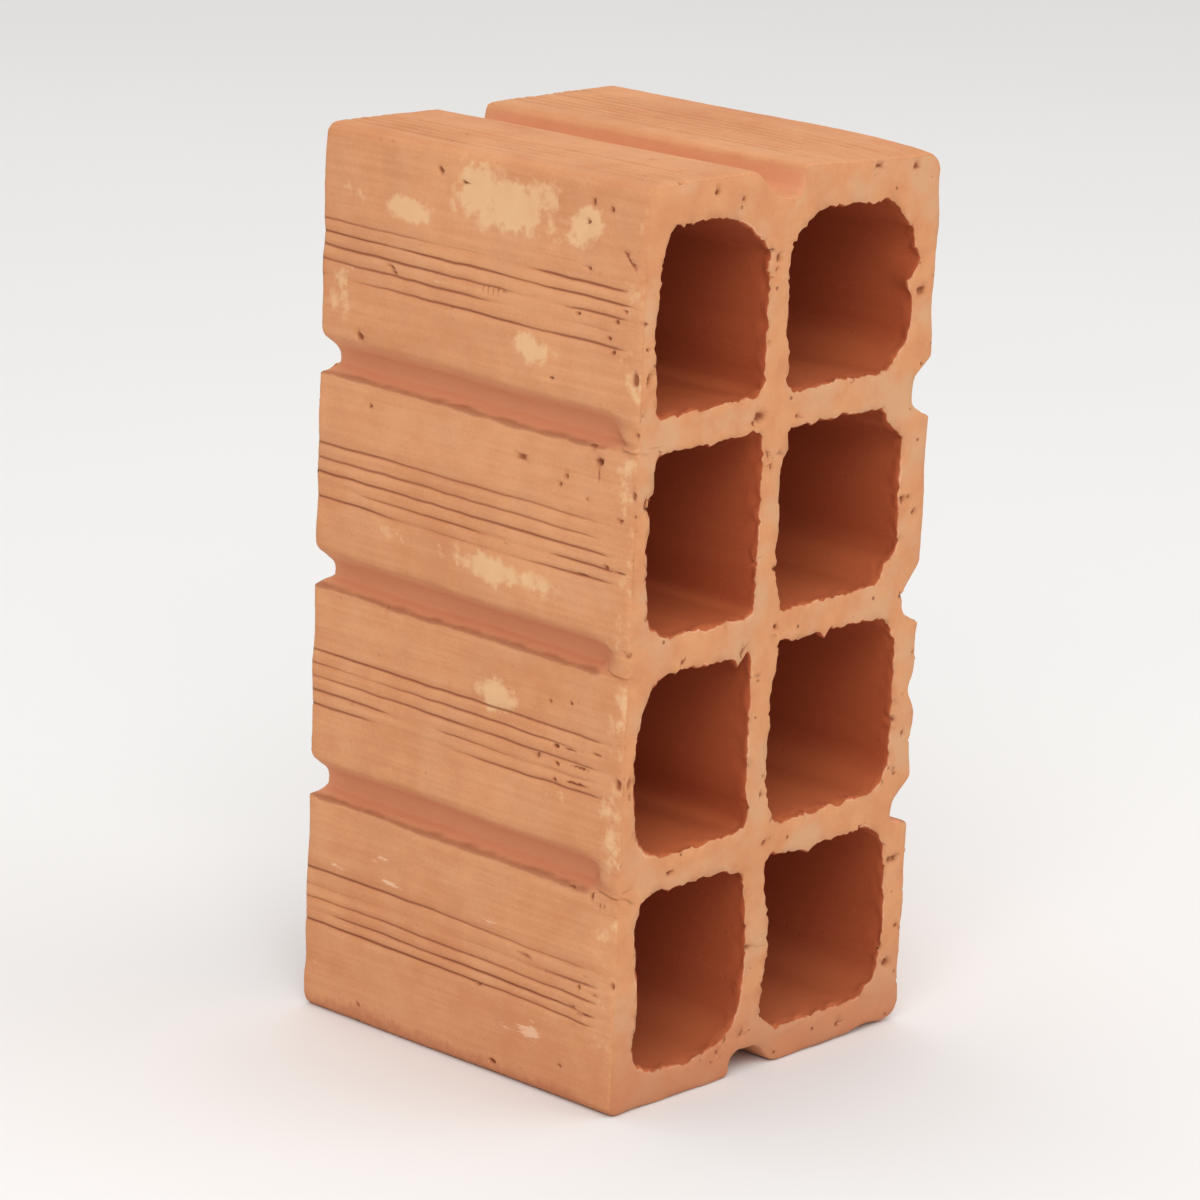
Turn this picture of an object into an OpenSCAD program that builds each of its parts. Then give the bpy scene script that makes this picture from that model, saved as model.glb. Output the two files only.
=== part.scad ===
/* [Brick] */
// Width across the two columns of cells, along X
brick_w = 90; // [75:1:160]
// Length of the cut piece, the way the cells run, along Y
brick_l = 90; // [40:1:390]
// Height as it stands, along Z
brick_h = 190; // [150:1:300]
// Radius of the two long outer corners beside the -X face
left_corner_r = 2.5; // [1:0.5:6]
// Radius of the two long outer corners beside the +X face
right_corner_r = 5; // [1:0.5:8]

/* [Walls] */
// Thickness of the outer wall on the -X side
left_wall = 5; // [4:0.5:10]
// Thickness of the outer wall on the +X side
right_wall = 8; // [4:0.5:12]
// Thickness of the wall at the foot and at the head
bed_wall = 8; // [6.5:0.5:12]
// Thickness of the upright wall between the two columns
mid_wall = 6.5; // [4:0.5:12]
// How far the upright wall stands to the +X side of the brick's middle
mid_shift = -5; // [-6:0.5:6]
// Thickness of each level web between two cells of a column
web = 7.5; // [5:0.5:12]

/* [Cells] */
// Number of cells in a column
rows = 4; // [2:1:4]
// Radius of a cell's corners beside the outer faces
cell_outer_r = 8; // [4:0.5:10]
// Radius of a cell's corners where a web meets the upright wall
cell_inner_r = 3; // [1:0.5:8]

/* [Key grooves] */
// Height of a key groove's mouth in the side faces
key_mouth = 10; // [7:0.5:13]
// Height of its floor
key_floor = 4.8; // [2:0.2:5.6]
// Height that its steep lower flank takes
key_toe = 1.2; // [0.4:0.2:1.4]
// Depth of a key groove
key_depth = 5.5; // [2:0.5:7]

/* [Bed channels] */
// Width of a bed channel's mouth in the head and foot
channel_mouth = 14; // [9:0.5:16]
// Width of its floor
channel_floor = 8; // [4:0.5:9]
// How far its floor stands off the middle of its mouth, to +X in the head and to -X in the foot
channel_lean = 2; // [0:0.2:2]
// How far the channel of the foot stands to the +X side of the upright wall's middle
foot_shift = 3; // [0:0.5:4]
// Depth of a bed channel
channel_depth = 5; // [2:0.5:6]

/* [Score lines] */
// Number of score lines beside each cell on the side faces
side_scores = 5; // [1:1:6]
// Number of score lines on a bed to the -X side of its channel
left_scores = 5; // [1:1:6]
// Number of score lines on a bed to the +X side of its channel
right_scores = 8; // [1:1:8]
// Distance from the -X face to the middle of the band beside it on a bed
left_band = 12; // [10:0.5:20]
// Distance from the +X face to the middle of the band beside it on a bed
right_band = 25; // [16:0.5:28]
// Distance from one score line to the next
score_pitch = 2.9; // [1.6:0.1:3.5]
// Width of a score line at the surface
score_w = 1.2; // [0.5:0.1:1.5]
// Depth of a score line
score_depth = 0.7; // [0.2:0.1:1]

/* [Hidden] */

$fn = 64;
clay = "#d5946a";
// How far a cut starts outside the face that it is made in
over = 1;

mid_x = mid_shift;
left_cell_w = brick_w / 2 + mid_x - mid_wall / 2 - left_wall;
right_cell_w = brick_w / 2 - mid_x - mid_wall / 2 - right_wall;
cell_h = (brick_h - 2 * bed_wall - (rows - 1) * web) / rows;
// From the foot of one cell to the foot of the next
row_pitch = cell_h + web;

// Height of a cell's foot
function cell_z(row) = bed_wall + row * row_pitch;

// The last row is under the head and the first is over the foot
function is_head_row(row) = row == rows - 1;
function is_foot_row(row) = row == 0;

// Radius of a cell's corner on the upright wall: it is wide beside a bed channel
function inner_r(beside_channel) = beside_channel ? cell_outer_r : cell_inner_r;

// The two points where a corner's arc leaves the straight sides, anticlockwise
function tangents(corner, centre, level_first) =
    let (on_upright = [corner.x, centre.y], on_level = [centre.x, corner.y])
    level_first ? [on_level, on_upright] : [on_upright, on_level];

// A rectangle with its own radius at each corner, anticlockwise from the low one
module rounded_rect(low, high, radii) {
    corners = [low, [high.x, low.y], high, [low.x, high.y]];
    inward = [[1, 1], [-1, 1], [-1, -1], [1, -1]];
    centres = [for (i = [0:3]) corners[i] + radii[i] * inward[i]];
    polygon([for (i = [0:3]) each tangents(corners[i], centres[i], i % 2 == 1)]);
    for (i = [0:3])
        translate(centres[i])
            circle(r = radii[i]);
}

// The outer outline, before its grooves
module blank() {
    half_w = brick_w / 2;
    radii = [left_corner_r, right_corner_r, right_corner_r, left_corner_r];
    rounded_rect([-half_w, 0], [half_w, brick_h], radii);
}

// One cell of the -X column
module left_cell(row) {
    low = [-brick_w / 2 + left_wall, cell_z(row)];
    foot_r = inner_r(is_foot_row(row));
    head_r = inner_r(is_head_row(row));
    rounded_rect(low, low + [left_cell_w, cell_h], [cell_outer_r, foot_r, head_r, cell_outer_r]);
}

// One cell of the +X column
module right_cell(row) {
    low = [mid_x + mid_wall / 2, cell_z(row)];
    foot_r = inner_r(is_foot_row(row));
    head_r = inner_r(is_head_row(row));
    rounded_rect(low, low + [right_cell_w, cell_h], [foot_r, cell_outer_r, cell_outer_r, head_r]);
}

module cells() {
    for (row = [0:rows - 1]) {
        left_cell(row);
        right_cell(row);
    }
}

// A key groove seen from its end, cut towards +X from x = 0, centred on z = 0
module key_groove() {
    foot = -key_mouth / 2;
    head = key_mouth / 2;
    floor_foot = foot + key_toe;
    polygon([
        [-over, foot],
        [0, foot],
        [key_depth, floor_foot],
        [key_depth, floor_foot + key_floor],
        [0, head],
        [-over, head],
    ]);
}

// The key grooves of the -X face, one beside each web
module key_grooves() {
    for (row = [1:rows - 1])
        translate([-brick_w / 2, cell_z(row) - web / 2])
            key_groove();
}

// A bed channel seen from its end, cut upwards from z = 0, with its mouth centred on x
module bed_channel(x, lean) {
    translate([x, 0])
        polygon([
            [-channel_mouth / 2, -over],
            [channel_mouth / 2, -over],
            [channel_mouth / 2, 0],
            [lean + channel_floor / 2, channel_depth],
            [lean - channel_floor / 2, channel_depth],
            [-channel_mouth / 2, 0],
        ]);
}

// The channels of the foot and the head, which lean opposite ways
module bed_channels() {
    bed_channel(mid_x + foot_shift, -channel_lean);
    at_head()
        bed_channel(mid_x, channel_lean);
}

// A band of score lines cut upwards from z = 0, centred on x = 0
module score_band(count) {
    for (i = [0:count - 1])
        translate([(i - (count - 1) / 2) * score_pitch, 0])
            polygon([
                [-score_w / 2, -over],
                [score_w / 2, -over],
                [score_w / 2, 0],
                [0, score_depth],
                [-score_w / 2, 0],
            ]);
}

// The score lines of the foot, one band on each side of its channel
module bed_scores() {
    translate([-brick_w / 2 + left_band, 0])
        score_band(left_scores);
    translate([brick_w / 2 - right_band, 0])
        score_band(right_scores);
}

// The score lines of the -X face, one band beside each cell
module side_score_lines() {
    for (row = [0:rows - 1])
        translate([-brick_w / 2, cell_z(row) + cell_h / 2])
            rotate(-90)
                score_band(side_scores);
}

// Both side faces: the cuts of the -X face and their mirror image
module both_sides() {
    children();
    mirror([1, 0])
        children();
}

// A cut of the foot, turned over to the head
module at_head() {
    translate([0, brick_h])
        mirror([0, 1])
            children();
}

// Both beds: the cuts of the foot and their mirror image at the head
module both_beds() {
    children();
    at_head()
        children();
}

// The section that the die gives the clay
module section() {
    difference() {
        blank();
        cells();
        both_sides() {
            key_grooves();
            side_score_lines();
        }
        both_beds()
            bed_scores();
        bed_channels();
    }
}

// One fired brick, standing on its narrow face, with its cells along Y
module brick() {
    color(clay)
        rotate([90, 0, 0])
            linear_extrude(height = brick_l, center = true)
                section();
}

brick();
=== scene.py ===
"""A hollow extruded clay brick that stands on its narrow bed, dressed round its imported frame."""

import logging
import math
import random
from collections.abc import Iterable
from dataclasses import dataclass, field
from enum import Enum

import bmesh
import bpy
from bmesh.types import BMEdge, BMesh, BMFace, BMLayerCollection, BMVert
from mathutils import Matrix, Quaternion, Vector, noise
from mathutils.geometry import delaunay_2d_cdt
from mathutils.kdtree import KDTree


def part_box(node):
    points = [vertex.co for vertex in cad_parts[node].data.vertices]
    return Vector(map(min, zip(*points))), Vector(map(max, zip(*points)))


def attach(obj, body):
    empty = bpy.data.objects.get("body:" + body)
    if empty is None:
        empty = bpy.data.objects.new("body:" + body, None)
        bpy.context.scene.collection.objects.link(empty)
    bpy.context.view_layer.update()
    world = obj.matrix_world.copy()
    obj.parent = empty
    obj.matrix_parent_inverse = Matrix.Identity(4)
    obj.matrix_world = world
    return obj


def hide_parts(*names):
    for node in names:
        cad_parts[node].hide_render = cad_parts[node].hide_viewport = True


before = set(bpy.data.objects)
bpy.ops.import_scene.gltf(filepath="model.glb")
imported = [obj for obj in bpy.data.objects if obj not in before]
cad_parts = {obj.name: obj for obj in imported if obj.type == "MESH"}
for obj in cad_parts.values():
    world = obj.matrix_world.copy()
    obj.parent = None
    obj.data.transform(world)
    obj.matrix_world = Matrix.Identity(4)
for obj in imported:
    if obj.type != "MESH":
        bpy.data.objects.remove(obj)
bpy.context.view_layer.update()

log = logging.getLogger("clay_brick")

MM = 0.001
SEED = 41
Colour = tuple[float, float, float]
Point = tuple[float, float, float]
Setting = str | int | float | bool
Input = "Term | bpy.types.NodeSocket | float | Colour"


def smoothstep(low: float, high: float, value: float) -> float:
    """Ease a value from 0 at low to 1 at high.

    Args:
        low: The value that gives 0.
        high: The value that gives 1.
        value: The value to ease.

    Returns:
        A number from 0 to 1.
    """
    t = min(1.0, max(0.0, (value - low) / (high - low)))
    return t * t * (3 - 2 * t)


class Mark(Enum):
    """The masks that the mesh carries for its finish, each from 0 to 1."""

    CUT = "cut"
    CELL = "cell"
    SCORE = "score"
    GROOVE = "groove"
    LIP = "lip"
    PIT = "pit"
    STRAW = "straw"
    SCUFF = "scuff"
    WORN = "worn"
    SILL = "painted_sill_light"


@dataclass(frozen=True)
class Corner:
    """One corner of a section's outline.

    Attributes:
        x: Place across the brick, in metres.
        z: Height, in metres.
        radius: Radius that rounds it, or 0 for a point on a straight side.
        crease: How far the point lies down a score line, from 0 to 1.
    """

    x: float
    z: float
    radius: float = 0.0
    crease: float = 0.0


@dataclass(frozen=True)
class Section:
    """The section that the die gives the clay, in metres, with z = 0 at the foot."""

    width: float
    height: float
    left_corner_radius: float = 2.5 * MM
    right_corner_radius: float = 5 * MM
    left_wall: float = 5 * MM
    right_wall: float = 8 * MM
    bed_wall: float = 8 * MM
    mid_wall: float = 6.5 * MM
    mid_x: float = -5 * MM
    web: float = 7.5 * MM
    rows: int = 4
    cell_outer_radius: float = 8 * MM
    cell_inner_radius: float = 3 * MM
    key_mouth: float = 10 * MM
    key_floor: float = 4.8 * MM
    key_toe: float = 1.2 * MM
    key_depth: float = 5.5 * MM
    key_lip_radius: float = 1.0 * MM
    key_floor_radius: float = 1.6 * MM
    channel_mouth: float = 14 * MM
    channel_floor: float = 8 * MM
    channel_depth: float = 5 * MM
    channel_lean: float = 2 * MM
    foot_shift: float = 3 * MM
    channel_lip_radius: float = 1.2 * MM
    channel_floor_radius: float = 2.2 * MM
    side_scores: int = 5
    left_scores: int = 5
    right_scores: int = 8
    left_band: float = 12 * MM
    right_band: float = 25 * MM
    score_pitch: float = 2.9 * MM
    score_width: float = 1.2 * MM

    @property
    def half_width(self) -> float:
        """Half of the brick's width."""
        return self.width / 2

    @property
    def cell_height(self) -> float:
        """Height of one cell."""
        webs = (self.rows - 1) * self.web
        return (self.height - 2 * self.bed_wall - webs) / self.rows

    def cell_foot(self, row: int) -> float:
        """Height of a cell's foot.

        Args:
            row: The cell's row, from 0 at the foot of the brick.

        Returns:
            The height in metres.
        """
        return self.bed_wall + row * (self.cell_height + self.web)

    def cell_middle(self, row: int) -> float:
        """Height of a cell's middle, for a row counted from the foot."""
        return self.cell_foot(row) + self.cell_height / 2

    def web_middle(self, row: int) -> float:
        """Height of the middle of the web under a row."""
        return self.cell_foot(row) - self.web / 2

    def side_band(self, row: int) -> list[tuple[float, float]]:
        """Points of the score lines beside a cell, from the foot up.

        Args:
            row: The cell's row.

        Returns:
            Pairs of a height and how far down a line it lies.
        """
        return self._band(self.cell_middle(row), self.side_scores)

    def bed_bands(self) -> list[tuple[float, float]]:
        """Points of the score lines of a bed, from the -X side.

        Returns:
            Pairs of a place across the brick and how far down a line it lies.
        """
        left = self._band(self.left_band - self.half_width, self.left_scores)
        return left + self._band(self.half_width - self.right_band, self.right_scores)

    def _band(self, middle: float, count: int) -> list[tuple[float, float]]:
        """Lip, crease and lip of each line of a band about its middle."""
        points = []
        for i in range(count):
            line = middle + (i - (count - 1) / 2) * self.score_pitch
            points.append((line - self.score_width / 2, 0.0))
            points.append((line, 1.0))
            points.append((line + self.score_width / 2, 0.0))
        return points

    def _right_side(self) -> list[Corner]:
        """Corners of the +X face from the foot up, between its rounded ends."""
        face = self.half_width
        floor = face - self.key_depth
        corners = []
        for row in range(self.rows):
            if row:
                middle = self.web_middle(row)
                foot = middle - self.key_mouth / 2
                floor_foot = foot + self.key_toe
                corners.append(Corner(face, foot, self.key_lip_radius * 0.5))
                corners.append(Corner(floor, floor_foot, self.key_floor_radius))
                corners.append(Corner(floor, floor_foot + self.key_floor, self.key_floor_radius))
                corners.append(Corner(face, middle + self.key_mouth / 2, self.key_lip_radius))
            corners += [Corner(face, z, crease=crease) for z, crease in self.side_band(row)]
        return corners

    def _bed(self, middle: float, lean: float) -> list[Corner]:
        """Corners of a bed from the -X side, between its rounded ends, as if it were the foot.

        Args:
            middle: Middle of its channel's mouth.
            lean: How far its channel's floor stands off the middle of the mouth.

        Returns:
            The corners.
        """
        half_mouth = self.channel_mouth / 2
        half_floor = self.channel_floor / 2
        channel = [
            Corner(middle - half_mouth, 0, self.channel_lip_radius),
            Corner(middle + lean - half_floor, self.channel_depth, self.channel_floor_radius),
            Corner(middle + lean + half_floor, self.channel_depth, self.channel_floor_radius),
            Corner(middle + half_mouth, 0, self.channel_lip_radius),
        ]
        scores = [Corner(x, 0, crease=crease) for x, crease in self.bed_bands()]
        left = [corner for corner in scores if corner.x < self.mid_x]
        right = [corner for corner in scores if corner.x > self.mid_x]
        return left + channel + right

    def outline(self) -> list[Corner]:
        """Corners of the outer outline, anticlockwise from the low -X one."""
        foot = self._bed(self.mid_x + self.foot_shift, -self.channel_lean)
        right = self._right_side()
        left = [Corner(-c.x, c.z, c.radius, c.crease) for c in reversed(right)]
        over = self._bed(self.mid_x, self.channel_lean)
        head = [Corner(c.x, self.height - c.z, c.radius, c.crease) for c in reversed(over)]
        left_turn = self.left_corner_radius
        right_turn = self.right_corner_radius
        return [
            Corner(-self.half_width, 0, left_turn), *foot,
            Corner(self.half_width, 0, right_turn), *right,
            Corner(self.half_width, self.height, right_turn), *head,
            Corner(-self.half_width, self.height, left_turn), *left,
        ]

    def cells(self) -> list[list[Corner]]:
        """Corners of each cell, anticlockwise from its low -X one."""
        wide = self.cell_outer_radius
        loops = []
        for row in range(self.rows):
            foot = self.cell_foot(row)
            head = foot + self.cell_height
            foot_r = wide if row == 0 else self.cell_inner_radius
            head_r = wide if row == self.rows - 1 else self.cell_inner_radius
            low_x = -self.half_width + self.left_wall
            high_x = self.mid_x - self.mid_wall / 2
            loops.append([
                Corner(low_x, foot, wide), Corner(high_x, foot, foot_r),
                Corner(high_x, head, head_r), Corner(low_x, head, wide),
            ])
            low_x = self.mid_x + self.mid_wall / 2
            high_x = self.half_width - self.right_wall
            loops.append([
                Corner(low_x, foot, foot_r), Corner(high_x, foot, wide),
                Corner(high_x, head, wide), Corner(low_x, head, head_r),
            ])
        return loops


@dataclass
class ClayMesh:
    """Builds the brick's mesh: cut ends that hold the section, and walls drawn between them."""

    section: Section
    near: float
    far: float
    outer_step: float = 1.4 * MM
    cell_step: float = 1.05 * MM
    crease_step: float = 0.35 * MM
    cut_step: float = 1.8 * MM
    cut_row: float = 1.55 * MM
    edge_round: float = 0.4 * MM
    arc_step: float = 0.9 * MM
    outer_rings: int = 38
    edge_ring_depths: tuple[float, ...] = (0.6, 1.3)
    cell_ring_depths: tuple[float, ...] = (0.6, 1.3, 2.1, 3.1, 4.5, 6.5, 9.5, 14, 20, 27, 35)
    bm: BMesh = field(default_factory=bmesh.new)

    def build(self) -> BMesh:
        """Build the closed mesh, before its relief.

        Returns:
            The mesh, with a cut, a cell and a score mask on each vertex.
        """
        for mark in (Mark.CUT, Mark.CELL, Mark.SCORE):
            self.bm.verts.layers.float.new(mark.value)
        outer = self._loop(self.section.outline(), self.outer_step)
        cells = [self._loop(corners, self.cell_step, in_cell=True) for corners in self.section.cells()]
        self._fill([outer, *cells])
        self._ease_edges()
        rims = [edge for edge in self.bm.edges if edge.is_boundary]
        self._copy_end()
        cell = self.bm.verts.layers.float[Mark.CELL.value]
        self._draw_walls([edge for edge in rims if edge.verts[0][cell] < 0.5], self._outer_rings())
        self._draw_walls([edge for edge in rims if edge.verts[0][cell] > 0.5], self._cell_rings())
        bmesh.ops.remove_doubles(self.bm, verts=self.bm.verts, dist=0.01 * MM)
        bmesh.ops.recalc_face_normals(self.bm, faces=self.bm.faces)
        return self.bm

    def _loop(self, corners: list[Corner], step: float, in_cell: bool = False) -> list[BMEdge]:
        """Draw a closed outline on the near end.

        Args:
            corners: Its corners, anticlockwise.
            step: Longest edge on its straight sides.
            in_cell: Whether it bounds a cell.

        Returns:
            The edges of the outline.
        """
        draft = bmesh.new()
        score = draft.verts.layers.float.new(Mark.SCORE.value)
        verts = []
        for corner in corners:
            vert = draft.verts.new((corner.x, self.near, corner.z))
            vert[score] = corner.crease
            verts.append(vert)
        for vert, following in zip(verts, verts[1:] + verts[:1]):
            draft.edges.new((vert, following))
        for radius in sorted({corner.radius for corner in corners if corner.radius}):
            turned = [v for v, c in zip(verts, corners) if c.radius == radius]
            segments = max(2, round(radius * math.pi / 2 / self.arc_step))
            bmesh.ops.bevel(
                draft, geom=turned, offset=radius, offset_type="OFFSET", segments=segments,
                profile=0.5, affect="VERTICES", material=-1,
            )
        cuts: dict[int, list[BMEdge]] = {}
        for edge in draft.edges:
            creased = max(vert[score] for vert in edge.verts) > 0.5
            longest = self.crease_step if creased else step
            cuts.setdefault(math.ceil(edge.calc_length() / longest) - 1, []).append(edge)
        for count, edges in cuts.items():
            if count > 0:
                bmesh.ops.subdivide_edges(draft, edges=edges, cuts=count)
        return self._copy_rim(draft, in_cell)

    def _copy_rim(self, draft: BMesh, in_cell: bool) -> list[BMEdge]:
        """Copy a draft rim into the mesh and free the draft.

        Args:
            draft: The rim's verts and edges.
            in_cell: Whether the rim bounds a cell.

        Returns:
            The copied edges.
        """
        layers = self.bm.verts.layers.float
        score = draft.verts.layers.float[Mark.SCORE.value]
        copies = {}
        for vert in draft.verts:
            copy = self.bm.verts.new(vert.co)
            copy[layers[Mark.CELL.value]] = float(in_cell)
            copy[layers[Mark.SCORE.value]] = vert[score]
            copies[vert] = copy
        rim = [self.bm.edges.new([copies[v] for v in edge.verts]) for edge in draft.edges]
        draft.free()
        return rim

    def _fill(self, loops: list[list[BMEdge]]) -> None:
        """Fill the near end between its outlines with even triangles.

        Args:
            loops: The edges of each outline, the outer one first.
        """
        loop_of = {vert: number for number, loop in enumerate(loops) for edge in loop for vert in edge.verts}
        rim = list(loop_of)
        index = {vert: i for i, vert in enumerate(rim)}
        flat = [Vector((vert.co.x, vert.co.z)) for vert in rim] + self._inner_points(loops)
        links = [(index[edge.verts[0]], index[edge.verts[1]]) for loop in loops for edge in loop]
        points, _, triangles, sources, _, _ = delaunay_2d_cdt(flat, links, [], 1, 1e-7)
        cut = self.bm.verts.layers.float[Mark.CUT.value]
        placed = []
        for point, source in zip(points, sources):
            if source[0] < len(rim):
                placed.append(rim[source[0]])
                continue
            vert = self.bm.verts.new((point.x, self.near, point.y))
            vert[cut] = 1.0
            placed.append(vert)
        for triangle in triangles:
            corners = [placed[i] for i in triangle]
            numbers = {loop_of.get(vert, 0) for vert in corners}
            if len(numbers) > 1 or 0 in numbers:
                self.bm.faces.new(corners)
        self.bm.normal_update()

    def _inner_points(self, loops: list[list[BMEdge]]) -> list[Vector]:
        """Points inside the section and clear of its outlines, in staggered rows."""
        spans = [[vert.co for vert in edge.verts] for loop in loops for edge in loop]
        tree = KDTree(len(spans))
        for number, (start, _) in enumerate(spans):
            tree.insert(start, number)
        tree.balance()
        points = []
        for row in range(1, int(self.section.height / self.cut_row)):
            z = row * self.cut_row
            crossed = sorted(
                a.x + (z - a.z) * (b.x - a.x) / (b.z - a.z) for a, b in spans if (a.z > z) != (b.z > z)
            )
            stagger = 0.5 * (row % 2)
            for start, end in zip(crossed[::2], crossed[1::2]):
                for step in range(math.ceil(start / self.cut_step), math.floor(end / self.cut_step) + 1):
                    x = (step + stagger) * self.cut_step
                    if x < end and tree.find((x, self.near, z))[2] > 0.65 * self.cut_step:
                        points.append(Vector((x, z)))
        return points

    def _ease_edges(self) -> None:
        """Give the cut end a narrow eased border, as wire-cut clay has."""
        bmesh.ops.inset_region(
            self.bm, faces=list(self.bm.faces), thickness=self.edge_round, depth=0.0,
            use_boundary=True, use_even_offset=True,
        )
        rim = {vert for edge in self.bm.edges if edge.is_boundary for vert in edge.verts}
        bmesh.ops.translate(self.bm, verts=list(rim), vec=(0, self.edge_round, 0))
        layers = self.bm.verts.layers.float
        for vert in self.bm.verts:
            if vert not in rim:
                vert[layers[Mark.CUT.value]] = 1.0
                vert[layers[Mark.CELL.value]] = 0.0
                vert[layers[Mark.SCORE.value]] = 0.0

    def _copy_end(self) -> None:
        """Copy the near end to the far end, facing the other way."""
        copy = bmesh.ops.duplicate(self.bm, geom=list(self.bm.faces))["geom"]
        verts = [item for item in copy if isinstance(item, BMVert)]
        faces = [item for item in copy if isinstance(item, BMFace)]
        middle = Vector((0, (self.near + self.far) / 2, 0))
        bmesh.ops.translate(self.bm, verts=verts, vec=-middle)
        bmesh.ops.scale(self.bm, verts=verts, vec=(1, -1, 1))
        bmesh.ops.translate(self.bm, verts=verts, vec=middle)
        bmesh.ops.reverse_faces(self.bm, faces=faces)

    def _outer_rings(self) -> list[float]:
        """Places along Y of the rings of the outer walls, after the first."""
        start = self.near + self.edge_round
        end = self.far - self.edge_round
        near_few = [start + depth * MM for depth in self.edge_ring_depths]
        far_few = [end - depth * MM for depth in reversed(self.edge_ring_depths)]
        length = far_few[0] - near_few[-1]
        between = [near_few[-1] + length * i / self.outer_rings for i in range(1, self.outer_rings)]
        return [*near_few, *between, *far_few, end]

    def _cell_rings(self) -> list[float]:
        """Places along Y of the rings of the cells' walls, close together at the mouths."""
        start = self.near + self.edge_round
        end = self.far - self.edge_round
        near_half = [start + depth * MM for depth in self.cell_ring_depths]
        far_half = [end - depth * MM for depth in reversed(self.cell_ring_depths)]
        return [*near_half, (start + end) / 2, *far_half, end]

    def _draw_walls(self, rims: list[BMEdge], rings: list[float]) -> None:
        """Draw walls from a rim to the far end.

        Args:
            rims: The edges to draw from.
            rings: Places along Y of each ring, in order.
        """
        place = rims[0].verts[0].co.y
        for ring in rings:
            drawn = bmesh.ops.extrude_edge_only(self.bm, edges=rims)["geom"]
            rims = [item for item in drawn if isinstance(item, BMEdge)]
            verts = [item for item in drawn if isinstance(item, BMVert)]
            bmesh.ops.translate(self.bm, verts=verts, vec=(0, ring - place, 0))
            place = ring


@dataclass(frozen=True)
class Scar:
    """A pit, crack or chip: an oval dent in a face, in millimetres.

    Attributes:
        place: Its middle, on the brick's surface.
        facing: Which way that surface faces.
        along: Direction of its long side.
        length: Half of its long side.
        width: Half of its short side.
        depth: How deep it goes.
    """

    place: Vector
    facing: Vector
    along: Vector
    length: float
    width: float
    depth: float

    def reach(self, point: Vector) -> float:
        """How far out of the scar a point is.

        Args:
            point: A point on the brick's surface, in millimetres.

        Returns:
            0 at its middle and 1 at its rim.
        """
        run, side = self._split(point)
        return math.hypot(run / self.length, side / self.width)

    def gap(self, point: Vector) -> float:
        """Rough distance of a point from the scar's rim, below 0 inside it."""
        run, side = self._split(point)
        return max(run - self.length, side - self.width)

    def _split(self, point: Vector) -> tuple[float, float]:
        """How far a point is from the scar's middle along its long side, and beside it."""
        offset = point - self.place
        run = offset.dot(self.along)
        return abs(run), (offset - self.along * run).length


@dataclass(frozen=True)
class Push:
    """A place where the section is pushed out of shape, in millimetres.

    Attributes:
        x: Place across the brick.
        z: Height.
        across: How far it is pushed towards +X.
        up: How far it is pushed upwards.
        wide: How far to each side it reaches.
        tall: How far up and down it reaches.
        deep: How far it reaches from the near end, or 0 for the whole length.
    """

    x: float
    z: float
    across: float
    up: float
    wide: float
    tall: float
    deep: float = 0.0

    def shift(self, point: Vector, inset: float) -> Vector:
        """How far the push moves a point.

        Args:
            point: A point on the brick, in millimetres.
            inset: How far it is from the near end.

        Returns:
            The move in millimetres.
        """
        away = ((point.x - self.x) / self.wide) ** 2 + ((point.z - self.z) / self.tall) ** 2
        if away > 6:
            return Vector((0, 0, 0))
        fade = math.exp(-((inset / self.deep) ** 2)) if self.deep else 1.0
        return Vector((self.across, 0, self.up)) * math.exp(-away) * fade


@dataclass(frozen=True)
class Patch:
    """A soft-edged stain on an outer face, in millimetres."""

    facing: Vector
    middle: Vector
    reach: Vector
    strength: float = 1.0

    def cover(self, point: Vector, normal: Vector) -> float:
        """How much of the stain lies at a point.

        Args:
            point: A point on the brick, in millimetres.
            normal: Which way the surface faces there.

        Returns:
            A number from 0 to the stain's strength.
        """
        if normal.dot(self.facing) < 0.5:
            return 0.0
        square = sum(((a - b) / r) ** 2 for a, b, r in zip(point, self.middle, self.reach))
        return self.strength * math.exp(-square)


LEFT = Vector((-1, 0, 0))
RIGHT = Vector((1, 0, 0))
HEAD = Vector((0, 0, 1))
FOOT = Vector((0, 0, -1))
NEAR = Vector((0, -1, 0))
FAR = Vector((0, 1, 0))


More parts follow.
